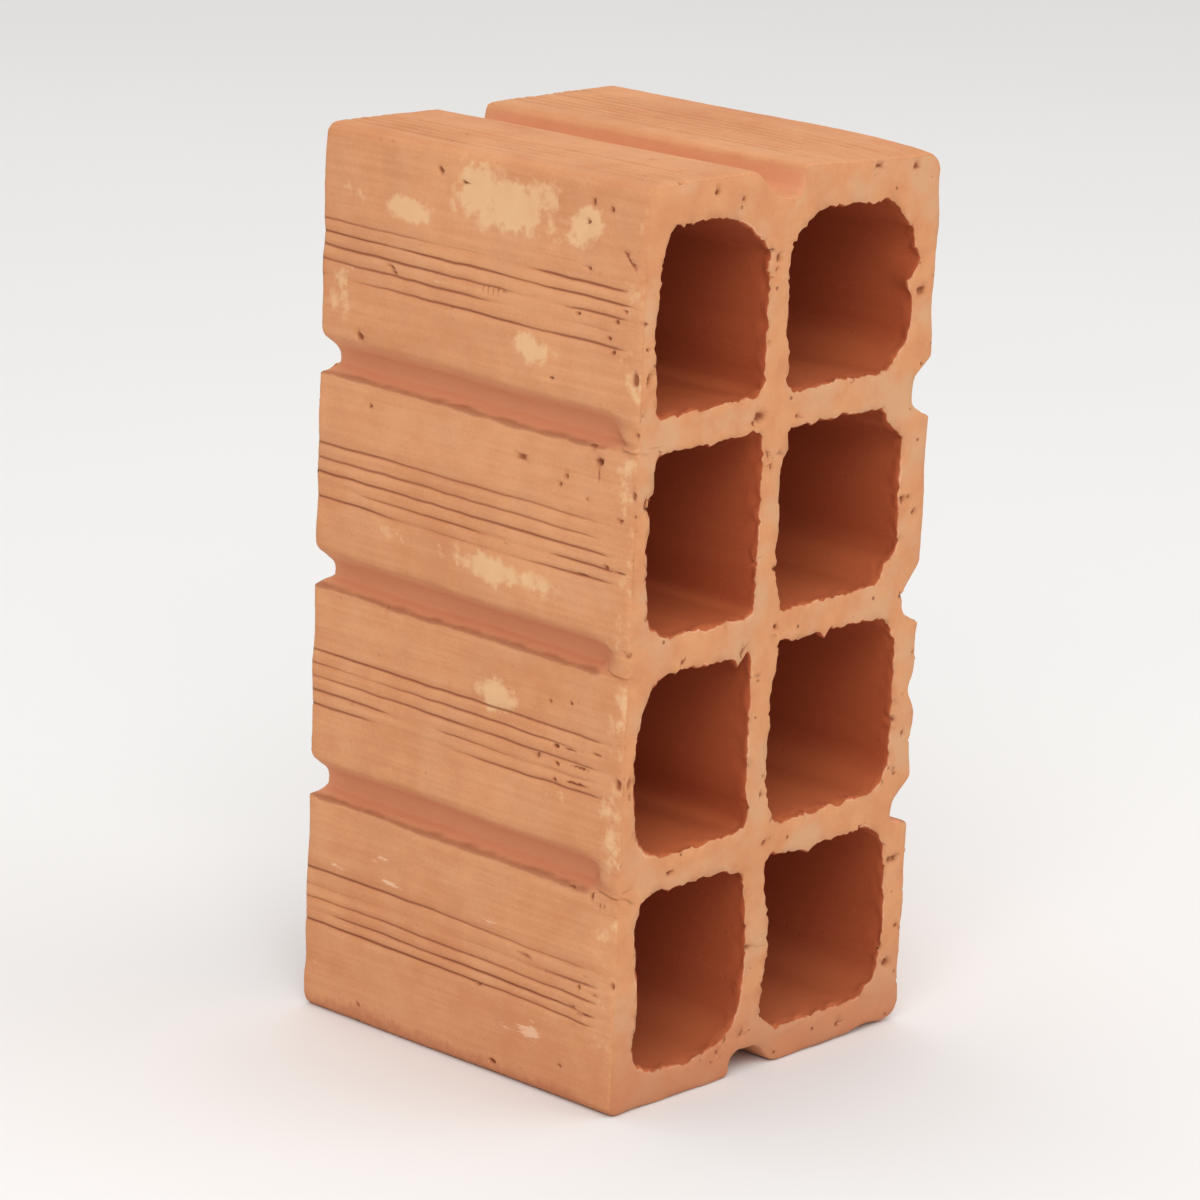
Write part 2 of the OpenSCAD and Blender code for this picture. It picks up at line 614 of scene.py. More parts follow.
@dataclass
class Relief:
    """Gives the brick its fired surface: settled walls, worn lines, ragged mouths, pits and stains.

    Works in millimetres on a mesh in metres, and fills the masks that the finish reads.
    """

    section: Section
    near: float
    far: float
    bow: float = 0.35
    drag: float = 0.07
    grit: float = 0.05
    cut_wave: float = 0.25
    line_depth: float = 0.6
    bed_lines: float = 3.0
    line_wander: float = 0.4
    line_slope: float = 0.016
    lip_lift: float = 2.1
    band_shift: tuple[float, ...] = (-3.0, 0.0, -1.2, 1.0)
    sag: float = 1.6
    taper: float = 1.6
    worn_edge: float = 1.5
    mouth_swell: float = 0.7
    mouth_tear: float = 0.65
    mouth_reach: float = 2.2
    smear_start: float = 3.0
    smear_end: float = 11.0
    smear_reach: float = 8.0
    scars: list[Scar] = field(default_factory=list)
    pushes: list[Push] = field(default_factory=list)
    straw: list[Patch] = field(default_factory=list)
    scuffs: list[Patch] = field(default_factory=list)

    def apply(self, bm: BMesh) -> None:
        """Shape the mesh and fill its masks.

        Args:
            bm: The closed brick mesh, in metres.
        """
        for name in (Mark.GROOVE, Mark.LIP, Mark.PIT, Mark.STRAW, Mark.SCUFF, Mark.WORN, Mark.SILL):
            bm.verts.layers.float.new(name.value)
        self._refine(bm)
        bm.normal_update()
        rims = self._outer_rims(bm)
        layers = bm.verts.layers.float
        cut = layers[Mark.CUT.value]
        cell = layers[Mark.CELL.value]
        moved = []
        for vert in bm.verts:
            point = vert.co / MM
            normal = vert.normal.copy()
            near_inset = point.y - self.near / MM
            inset = min(near_inset, self.far / MM - point.y)
            shift = normal * self.bow * noise.noise(point * 0.022) + self._settle(point, near_inset)
            for push in self.pushes:
                shift += push.shift(point, near_inset)
            if vert[cell] > 0.45:
                shift += self._cell_shift(point, normal)
                shift += self._tear(point) * math.exp(-((inset / self.mouth_reach) ** 2))
                # Mask of the cells' up-facing floors, which take painted light.
                vert[layers[Mark.SILL.value]] = smoothstep(0.2, 0.9, normal.z)
            elif vert[cut] > 0.45:
                from_rim = (vert.co - rims.find(vert.co)[0]) / MM
                from_rim.y = 0
                shift += self._cut_shift(point, normal) + self._drift(point, near_inset)
                shift += self._smear(point, near_inset) + self._tear(point) * smoothstep(0.3, 4.0, from_rim.length)
                shift += self._wear(point, from_rim, NEAR if point.y < 0 else FAR)
            else:
                smear = self._smear(point, near_inset)
                facing = Vector((normal.x, 0, normal.z)) + LEFT * smear.length
                inwards = Vector((0, inset if point.y < 0 else -inset, 0))
                shift += self._outer_shift(point, normal) + self._drift(point, near_inset) + smear
                shift += self._wear(point, inwards, facing.normalized())
                self._mark_outer(vert, layers, point, normal, near_inset)
                shift -= normal * self.line_depth * vert[layers[Mark.SCORE.value]]
            moved.append(point + shift)
        for vert, point in zip(bm.verts, moved):
            vert.co = point * MM
        self._cut_scars(bm)

    def _refine(self, bm: BMesh) -> None:
        """Make the mesh finer round each scar, in passes that close in on it."""
        for margin in (1.6, 0.9, 0.5):
            tree = self._tree(bm.verts)
            bm.verts.ensure_lookup_table()
            wanted: dict[BMVert, float] = {}
            for scar in self.scars:
                finest = max(0.7 * scar.width, 0.35) * MM
                for point, index, _ in tree.find_range(scar.place * MM, (scar.length + margin + 1) * MM):
                    if scar.gap(point / MM) < margin:
                        vert = bm.verts[index]
                        wanted[vert] = min(finest, wanted.get(vert, finest))
            edges = [
                edge for edge in bm.edges
                if edge.verts[0] in wanted and edge.verts[1] in wanted
                and edge.calc_length() > 1.3 * max(wanted[vert] for vert in edge.verts)
            ]
            bmesh.ops.subdivide_edges(bm, edges=edges, cuts=1)
            ngons = [face for face in bm.faces if len(face.verts) > 4]
            bmesh.ops.triangulate(bm, faces=ngons, quad_method="BEAUTY", ngon_method="BEAUTY")

    def _tree(self, verts: Iterable[BMVert]) -> KDTree:
        """Search tree of vertices, in metres, which finds them by their index."""
        verts = list(verts)
        tree = KDTree(len(verts))
        for index, vert in enumerate(verts):
            tree.insert(vert.co, index)
        tree.balance()
        return tree

    def _outer_rims(self, bm: BMesh) -> KDTree:
        """Search tree of the two outer rims of the cut ends."""
        layers = bm.verts.layers.float
        cut = layers[Mark.CUT.value]
        cell = layers[Mark.CELL.value]
        return self._tree(
            vert for vert in bm.verts
            if vert[cut] < 0.2 and vert[cell] < 0.2 and min(vert.co.y - self.near, self.far - vert.co.y) < 0.5 * MM
        )

    def _cut_scars(self, bm: BMesh) -> None:
        """Sink each scar into the surface."""
        bm.normal_update()
        bm.verts.ensure_lookup_table()
        pit = bm.verts.layers.float[Mark.PIT.value]
        tree = self._tree(bm.verts)
        for scar in self.scars:
            for point, index, _ in tree.find_range(scar.place * MM, (scar.length + 4) * MM):
                vert = bm.verts[index]
                ragged = 1 + 0.4 * noise.noise(point * 1.1 / MM)
                hold = 1 - smoothstep(0.3, 1.0, scar.reach(point / MM) * ragged)
                if hold > 0 and vert.normal.dot(scar.facing) > 0.1:
                    vert.co = vert.co - scar.facing * scar.depth * hold * MM
                    # The pit mask places the painted shade inside the pit.
                    vert[pit] = max(vert[pit], hold)

    def _settle(self, point: Vector, near_inset: float) -> Vector:
        """How the soft brick sagged and leaned before it dried."""
        height = self.section.height / MM
        top = smoothstep(0.9, 1.0, point.z / height)
        right = smoothstep(0, 40, point.x)
        drop = self.sag * top * right * math.exp(-near_inset / 12)
        lean = self.taper * (point.x / (self.section.width / MM) + 0.5) * (smoothstep(0, 1, point.z / height) - 0.4)
        return Vector((-lean, 0, -drop))

    def _outer_shift(self, point: Vector, normal: Vector) -> Vector:
        """Ripples of the outer faces, along the way the clay was drawn."""
        ripple = noise.noise(Vector((point.x * 0.5 + 9, point.y * 0.03, point.z * 0.5 + 4)))
        grit = noise.noise(point * 0.7)
        return normal * (self.drag * ripple + self.grit * grit)

    def _drift(self, point: Vector, near_inset: float) -> Vector:
        """How the lines and grooves that the die drew wander along the brick."""
        height = self.section.height / MM
        wander = noise.noise(Vector((point.x * 0.05, point.y * 0.035, point.z * 0.09 + 20)))
        fine = noise.noise(Vector((point.x * 0.3, point.y * 0.2, point.z * 0.2 + 40)))
        to_bed = min(point.z, height - point.z)
        side = smoothstep(34, 39, abs(point.x)) * smoothstep(0, 6, to_bed)
        bed = smoothstep(0, 6, self.section.half_width / MM - abs(point.x)) * (1 - smoothstep(5.5, 9, to_bed))
        stray = self.line_wander * wander + 0.22 * fine
        rise = stray
        if point.x < 0:
            away = min(abs(point.z - lip) for lip in self._lips())
            rise += self.line_slope * (near_inset - 45) + self.lip_lift * math.exp(-((away / 2.5) ** 2))
            for row, moved in enumerate(self.band_shift):
                off = (point.z - self.section.cell_middle(row) / MM) / 11
                rise += moved * math.exp(-off * off)
        return Vector((stray * bed, 0, rise * side))

    def _lips(self) -> list[float]:
        """Heights of the lower lips of the key grooves, in millimetres."""
        section = self.section
        return [(section.web_middle(row) - section.key_mouth / 2) / MM for row in range(1, section.rows)]

    def _cell_shift(self, point: Vector, normal: Vector) -> Vector:
        """Ripples of the cells' walls, along the way the clay was drawn."""
        ripple = noise.noise(Vector((point.x * 0.25 + 3, point.y * 0.015, point.z * 0.25 + 1)))
        grit = noise.noise(point * 0.4)
        return normal * (0.3 * ripple + 0.1 * grit)

    def _cut_shift(self, point: Vector, normal: Vector) -> Vector:
        """Waves and crumbs of the wire-cut ends."""
        wave = noise.noise(Vector((point.x * 0.12, point.y, point.z * 0.12)))
        crumb = noise.noise(point * 0.8)
        return normal * (self.cut_wave * wave + 0.1 * crumb)

    def _tear(self, point: Vector) -> Vector:
        """How the wire tore the cells' mouths, in the plane of the cut."""
        swell = noise.noise_vector(Vector((point.x * 0.055, point.y * 0.012, point.z * 0.055)))
        ragged = noise.noise_vector(point * 0.9)
        chip = noise.noise_vector(point * 0.28)
        strong = smoothstep(0.25, 0.6, abs(noise.noise(point * 0.16 + Vector((5, 5, 5)))) * 2)
        teeth = noise.noise_vector(point * 0.5 + Vector((9, 9, 9)))
        shift = swell * self.mouth_swell + (ragged + 0.8 * teeth + chip * strong * 1.6) * self.mouth_tear
        return Vector((shift.x, 0, shift.z))

    def _wear(self, point: Vector, from_edge: Vector, facing: Vector) -> Vector:
        """How far a surface falls back beside its worn outer edge.

        Args:
            point: A point on the brick, in millimetres.
            from_edge: How it lies from the edge, along the surface.
            facing: Which way the surface faces.

        Returns:
            The move in millimetres.
        """
        worn = self.worn_edge * (1 + 0.7 * noise.noise(point * 0.12))
        away = from_edge.length
        least = 0.36 * worn
        left = max(0.0, worn - max(away, least))
        fall = worn - math.sqrt(worn * worn - left * left)
        slide = max(0.0, least - away)
        return from_edge.normalized() * slide - facing * fall

    def _groove_depth(self, z: float) -> float:
        """Depth of a side face below its plane at a height, in millimetres."""
        section = self.section
        mouth = section.key_mouth / MM
        for lip in self._lips():
            up = z - lip
            if 0 < up < mouth:
                toe = section.key_toe / MM
                slope = (mouth - up) / (mouth - toe - section.key_floor / MM)
                return section.key_depth / MM * min(1.0, up / toe, slope)
        return 0.0

    def _smear(self, point: Vector, near_inset: float) -> Vector:
        """How far the wire dragged clay into the key grooves of the -X face at the near end."""
        depth = self._groove_depth(point.z)
        solid = self.smear_reach - (point.x + self.section.half_width / MM)
        if depth == 0 or solid <= 0 or near_inset > 20:
            return Vector((0, 0, 0))
        share = min(1.0, solid / (self.smear_reach - depth))
        ragged = 2.5 * noise.noise(Vector((3, point.y * 0.2, point.z * 0.25)))
        fade = 1 - smoothstep(self.smear_start, self.smear_end, near_inset + ragged)
        return Vector((-0.93 * depth * share * fade, 0, 0))

    def _mark_outer(
        self, vert: BMVert, layers: BMLayerCollection, point: Vector, normal: Vector, inset: float
    ) -> None:
        """Fill the masks of an outer face at a vertex."""
        score = layers[Mark.SCORE.value]
        to_bed = min(point.z, self.section.height / MM - point.z)
        if to_bed < 1.5:
            vert[score] = min(1.0, self.bed_lines * vert[score])
        vert[score] *= self._line_strength(point, inset)
        smeared = 1 - smoothstep(self.smear_start, self.smear_end, inset) if point.x < 0 else 0.0
        # The groove mask places the painted shade tint of the grooves and channels.
        vert[layers[Mark.GROOVE.value]] = self._groove(point) * (1 - smeared)
        vert[layers[Mark.LIP.value]] = self._lip(point) * (1 - smeared)
        vert[layers[Mark.STRAW.value]] = max((p.cover(point, normal) for p in self.straw), default=0.0)
        vert[layers[Mark.SCUFF.value]] = max((p.cover(point, normal) for p in self.scuffs), default=0.0)
        # Darker, redder band along the foot of the outer faces.
        vert[layers[Mark.WORN.value]] = 1 - smoothstep(1.5, 7, point.z + 2 * noise.noise(point * 0.1))

    def _line_strength(self, point: Vector, inset: float) -> float:
        """How deep a score line is at a point: it breaks, and fades towards the cut ends."""
        across = point.x + point.z
        gap = noise.noise(Vector((across * 0.9, point.y * 0.035, 5)))
        wear = noise.noise(Vector((across * 0.6, point.y * 0.02, 11)))
        fade = smoothstep(2, 9, inset + 6 * wear)
        return fade * (0.25 + 0.75 * smoothstep(-0.5, -0.1, gap)) * (0.85 + 0.5 * wear)

    def _lip(self, point: Vector) -> float:
        """How close a point is to the sharp lower lip of a key groove."""
        if abs(point.x) < (self.section.half_width - self.section.key_depth) / MM:
            return 0.0
        return max(0.0, 1 - min(abs(point.z - lip) for lip in self._lips()) / 1.5)

    def _groove(self, point: Vector) -> float:
        """How far down a key groove or bed channel a point of the outer wall is."""
        section = self.section
        side = (section.half_width / MM - abs(point.x)) / (section.key_depth / MM)
        bed = min(point.z, section.height / MM - point.z) / (section.channel_depth / MM)
        corner = section.right_corner_radius / MM
        in_side = corner < point.z < section.height / MM - corner
        in_bed = abs(point.x - section.mid_x / MM) < 0.8 * section.channel_mouth / MM
        down = side if in_side and not in_bed else bed if in_bed else 0.0
        return smoothstep(0.05, 0.5, down)


class Term:
    """A shader value that takes part in Python expressions."""

    def __init__(self, graph: "Graph", socket: bpy.types.NodeSocket) -> None:
        """Wrap an output socket.

        Args:
            graph: The graph that it belongs to.
            socket: The output socket.
        """
        self.graph = graph
        self.socket = socket

    def _sum(self, operation: str, first: "Input", second: "Input") -> "Term":
        """One Math node of two values."""
        node = self.graph.node("ShaderNodeMath", {"operation": operation}, {0: first, 1: second})
        return Term(self.graph, node.outputs[0])

    def __add__(self, other: "Input") -> "Term":
        """Add."""
        return self._sum("ADD", self, other)

    def __radd__(self, other: "Input") -> "Term":
        """Add to a number."""
        return self._sum("ADD", other, self)

    def __sub__(self, other: "Input") -> "Term":
        """Take away."""
        return self._sum("SUBTRACT", self, other)

    def __rsub__(self, other: "Input") -> "Term":
        """Take from a number."""
        return self._sum("SUBTRACT", other, self)

    def __mul__(self, other: "Input") -> "Term":
        """Multiply."""
        return self._sum("MULTIPLY", self, other)

    def __rmul__(self, other: "Input") -> "Term":
        """Multiply a number."""
        return self._sum("MULTIPLY", other, self)

    def smooth(self, low: float, high: float) -> "Term":
        """Ease from 0 at low to 1 at high."""
        ends = {"From Min": low, "From Max": high}
        return self.graph.output("ShaderNodeMapRange", {"interpolation_type": "SMOOTHSTEP"}, {"Value": self, **ends})


class Graph:
    """Writes a material's nodes."""

    def __init__(self, name: str) -> None:
        """Start a material with an empty graph.

        Args:
            name: The material's name.
        """
        self.material = bpy.data.materials.new(name)
        self.material.use_nodes = True
        self.nodes = self.material.node_tree.nodes
        self.links = self.material.node_tree.links
        self.nodes.clear()

    def node(self, kind: str, settings: dict[str, Setting], values: dict[str | int, "Input"]) -> bpy.types.Node:
        """Add a node.

        Args:
            kind: The node's type.
            settings: Its own settings, which are set first.
            values: What each of its input sockets is given.

        Returns:
            The node.
        """
        node = self.nodes.new(kind)
        for name, setting in settings.items():
            setattr(node, name, setting)
        for name, value in values.items():
            socket = node.inputs[name]
            if isinstance(value, Term):
                self.links.new(value.socket, socket)
            elif isinstance(value, tuple) and socket.type == "RGBA":
                socket.default_value = (*value, 1.0)
            else:
                socket.default_value = value
        return node

    def output(
        self, kind: str, settings: dict[str, Setting], values: dict[str | int, "Input"], socket: str | int = 0
    ) -> Term:
        """Add a node and take one of its outputs."""
        return Term(self, self.node(kind, settings, values).outputs[socket])

    def mark(self, mark: Mark) -> Term:
        """Read one of the masks that the mesh carries."""
        return self.output("ShaderNodeAttribute", {"attribute_name": mark.value}, {}, "Fac")

    def millimetres(self) -> Term:
        """The place on the object, in millimetres."""
        place = self.output("ShaderNodeTexCoord", {}, {}, "Object")
        return self.stretch(place, (1 / MM, 1 / MM, 1 / MM))

    def stretch(self, vector: Term, by: Point) -> Term:
        """Scale a vector along each axis."""
        return self.output("ShaderNodeVectorMath", {"operation": "MULTIPLY"}, {0: vector, 1: by})

    def noise(self, vector: Term, scale: float, detail: float = 3.0, roughness: float = 0.55) -> Term:
        """Soft noise about 0.5, with a scale in features for each millimetre."""
        return self.output(
            "ShaderNodeTexNoise", {}, {"Vector": vector, "Scale": scale, "Detail": detail, "Roughness": roughness}
        )

    def blend(self, share: "Input", first: "Input", second: "Input") -> Term:
        """Blend two colours."""
        node = self.node("ShaderNodeMix", {"data_type": "RGBA"}, {})
        for index, value in ((0, share), (6, first), (7, second)):
            if isinstance(value, Term):
                self.links.new(value.socket, node.inputs[index])
            else:
                node.inputs[index].default_value = value if index == 0 else (*value, 1.0)
        return Term(self, node.outputs[2])

    def specks(self, vector: Term, scale: float, share: float, size: float) -> Term:
        """Scattered dots.

        Args:
            vector: Where the pattern is read.
            scale: Dots for each millimetre, before most are left out.
            share: Share of the dots that are kept.
            size: Radius of a dot, in spacings.

        Returns:
            1 in a dot and 0 elsewhere.
        """
        cells = self.node("ShaderNodeTexVoronoi", {"feature": "F1"}, {"Vector": vector, "Scale": scale})
        distance = Term(self, cells.outputs["Distance"])
        split = self.node("ShaderNodeSeparateColor", {}, {"Color": Term(self, cells.outputs["Color"])})
        kept = Term(self, split.outputs[0]).smooth(1 - share, 1 - share + 0.02)
        return kept * (1 - distance.smooth(size * 0.5, size))

    def finish(self, shader: bpy.types.Node) -> bpy.types.Material:
        """Join the shader to the output and return the material."""
        self.node("ShaderNodeOutputMaterial", {}, {"Surface": Term(self, shader.outputs[0])})
        return self.material


@dataclass(frozen=True)
class FiredClay:
    """Matt fired terracotta, with a darker, redder painted shade inside the cells and lighter painted light on the
    cells' floors.
    """

    pale: Colour = (0.685, 0.325, 0.155)
    warm: Colour = (0.59, 0.245, 0.11)
    # Painted tint of the key grooves and bed channels: pinker, standing for the soft shade in them, and as light as
    # the palest clay to offset the shade that the render itself gives them.
    groove: Colour = (0.68, 0.30, 0.16)
    # Painted shade for the score lines' creases and the grooves' lower lips.
    crease: Colour = (0.30, 0.095, 0.045)
    # Painted shade inside pits and pores.
    pit: Colour = (0.27, 0.075, 0.03)
    straw: Colour = (0.76, 0.47, 0.25)
    scuff: Colour = (0.82, 0.51, 0.33)
    # Darker, redder tone laid towards the foot.
    worn: Colour = (0.47, 0.16, 0.08)
    cut: Colour = (0.64, 0.295, 0.135)
    # Painted shade: the darker, redder colour of the cells' walls.
    painted_cell_shade: Colour = (0.385, 0.076, 0.024)
    # Painted light: the cells' up-facing floors, lighter than their walls.
    painted_sill_light: Colour = (0.48, 0.115, 0.037)
    tan: Colour = (0.60, 0.345, 0.19)
    # Painted highlight along the torn rims of the cells' mouths.
    painted_rim_highlight: Colour = (0.80, 0.42, 0.26)
    roughness: float = 0.9
    sheen: float = 0.2
    grain_height: float = 0.12 * MM

    def material(self) -> bpy.types.Material:
        """Write the material.

        Returns:
            The material, which reads the masks of the brick's mesh.
        """
        graph = Graph("fired_clay")
        place = graph.millimetres()
        broad = graph.noise(place, 0.025, 2.0)
        mottle = graph.noise(place, 0.16, 4.0)
        grain = graph.noise(place, 1.6, 3.0)
        drawn = graph.noise(graph.stretch(place, (1.0, 0.035, 1.0)), 0.9, 3.0)
        cut = graph.mark(Mark.CUT).smooth(0.4, 0.9)
        cell = graph.mark(Mark.CELL)
        # Painted highlight: a thin lighter band on the cut end along each cell mouth's rim.
        painted_rim_highlight = cell.smooth(0.02, 0.25) * (1 - cell.smooth(0.3, 0.5)) * mottle.smooth(0.4, 0.6)
        cell = cell.smooth(0.4, 0.9)
        colour = self._ground(graph, broad, mottle, grain, drawn)
        colour = graph.blend(cut * 0.75, colour, graph.blend(mottle.smooth(0.3, 0.7), self.warm, self.cut))
        tan = graph.noise(place, 0.07, 4.0, 0.6).smooth(0.45, 0.65) * (0.15 + cut * 0.5)
        colour = graph.blend(painted_rim_highlight * 0.7, graph.blend(tan, colour, self.tan), self.painted_rim_highlight)
        # Painted shade inside the cells, with painted light on their up-facing floors.
        colour = graph.blend(cell * 0.95, colour, graph.blend(graph.mark(Mark.SILL), self.painted_cell_shade, self.painted_sill_light))
        colour = self._stains(graph, colour, place, mottle, grain)
        # Painted shade tint in the grooves and channels, kept light against the rendered shade.
        colour = graph.blend(graph.mark(Mark.GROOVE) * 0.85, colour, self.groove)
        colour = self._lines(graph, colour, mottle, drawn)
        # Painted shade in small pores and in the pits.
        holes = graph.specks(place, 0.34, 0.22, 0.16) * (0.25 + cut * 0.75)
        pits = graph.mark(Mark.PIT).smooth(0.25, 0.9)
        colour = graph.blend(holes * 0.7, colour, self.pit)
        colour = graph.blend(pits * 0.85, colour, self.pit)
        height = grain * 0.6 + drawn * 0.8 * (1 - cut) + mottle * 0.6 - holes * 2.5
        bump = graph.output("ShaderNodeBump", {}, {"Strength": 1.0, "Distance": self.grain_height, "Height": height})
        shader = graph.node("ShaderNodeBsdfPrincipled", {}, {
            "Base Color": colour,
            "Roughness": self.roughness - grain * 0.12,
            "Normal": bump,
            "Specular IOR Level": self.sheen,
        })
        return graph.finish(shader)

    def _ground(self, graph: Graph, broad: Term, mottle: Term, grain: Term, drawn: Term) -> Term:
        """The clay's own colour, before stains."""
        share = broad * 0.7 + mottle * 0.5 + drawn * 0.5 + grain * 0.3
        return graph.blend(share.smooth(0.75, 1.25), self.warm, self.pale)

    def _stains(self, graph: Graph, colour: Term, place: Term, mottle: Term, grain: Term) -> Term:
        """Straw-coloured patches, pale scuffs, and a darker, redder tone towards the foot over the clay."""
        ragged = graph.noise(place, 0.45, 5.0, 0.7)
        clumps = graph.noise(place, 0.11, 3.0, 0.6)
        stained = graph.mark(Mark.STRAW)
        straw = (stained * 1.1 + (ragged - 0.5) * 1.2 + (clumps - 0.5) * 1.7).smooth(0.28, 0.68)
        colour = graph.blend(straw * stained.smooth(0.02, 0.15) * (0.5 + mottle * 0.6), colour, self.straw)
        scratch = graph.noise(graph.stretch(place, (1.0, 0.16, 1.0)), 0.85, 4.0, 0.7)
        scuff = (graph.mark(Mark.SCUFF) * 0.62 + scratch).smooth(0.97, 1.06)
        colour = graph.blend(scuff * 0.8, colour, self.scuff)
        worn = (graph.mark(Mark.WORN) * 0.6 + ragged * 0.8).smooth(0.75, 1.05)
        colour = graph.blend(worn * 0.6, colour, self.worn)
        low = 1 - graph.output("ShaderNodeSeparateXYZ", {}, {"Vector": place}, "Z").smooth(0.0, 26.0)
        return graph.blend(low * (0.15 + graph.mark(Mark.CUT) * 0.4), colour, self.worn)

    def _lines(self, graph: Graph, colour: Term, mottle: Term, drawn: Term) -> Term:
        """Painted shade in the score lines' creases, and a painted shadow along each groove's lower lip."""
        score = (graph.mark(Mark.SCORE) + (drawn - 0.5) * 0.25).smooth(0.3, 0.8)
        colour = graph.blend(score * 0.8, colour, self.crease)
        lip = (graph.mark(Mark.LIP) + (mottle - 0.5) * 0.7).smooth(0.62, 0.95)
        return graph.blend(lip * 0.65, colour, self.crease)


@dataclass(frozen=True)
class PaleFloor:
    """Plain pale studio floor."""

    colour: Colour = (0.86, 0.855, 0.85)
    shade: Colour = (0.83, 0.825, 0.82)
    roughness: float = 0.95

    def material(self) -> bpy.types.Material:
        """Write the material."""
        graph = Graph("pale_floor")
        cloud = graph.noise(graph.millimetres(), 0.004, 2.0)
        colour = graph.blend(cloud, self.colour, self.shade)
        shader = graph.node("ShaderNodeBsdfPrincipled", {}, {"Base Color": colour, "Roughness": self.roughness})
        return graph.finish(shader)


def on_left(from_near: float, z: float) -> Vector:
    """A place on the -X face, in millimetres from the near end and the foot."""
    low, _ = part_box("brick")
    return Vector((low.x / MM, low.y / MM + from_near, z))


def on_near(x: float, z: float) -> Vector:
    """A place on the near cut end, in millimetres from the brick's middle and foot."""
    low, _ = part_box("brick")
    return Vector((x, low.y / MM, z))


